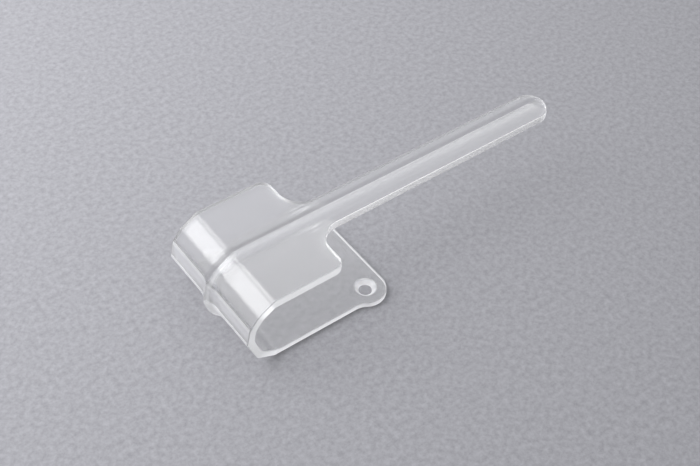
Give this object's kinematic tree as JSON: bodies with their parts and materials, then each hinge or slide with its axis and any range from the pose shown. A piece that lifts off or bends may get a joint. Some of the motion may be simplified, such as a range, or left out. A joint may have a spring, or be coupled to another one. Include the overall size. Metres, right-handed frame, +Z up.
{
  "type": "clear clip bracket",
  "caption": "Clear moulded screw-on clip bracket: flat eared base, faceted nose that turns back over it, top plate and long ridged arm with a round tip.",
  "frame": {"origin": "midway between the two screw holes, on the underside of the base plate", "axes": "+X from the nose towards the arm's tip, +Y across the part to its left, +Z up from the surface that the base is screwed to"},
  "size_m": [0.1394, 0.0482, 0.0278],
  "materials": {
    "clear_plastic": "clear, polished, faintly milky"
  },
  "bodies": {
    "root": {"base_plate": "clear_plastic", "left_ear": "clear_plastic", "right_ear": "clear_plastic", "base_bend": "clear_plastic", "lower_wall": "clear_plastic", "front_wall": "clear_plastic", "upper_wall": "clear_plastic", "top_bend": "clear_plastic", "nose_ridge": "clear_plastic", "top_plate": "clear_plastic", "plate_ridge": "clear_plastic", "left_shoulder_rib": "clear_plastic", "right_shoulder_rib": "clear_plastic", "arm_root": "clear_plastic", "arm": "clear_plastic", "arm_tip": "clear_plastic"}
  },
  "joints": []
}
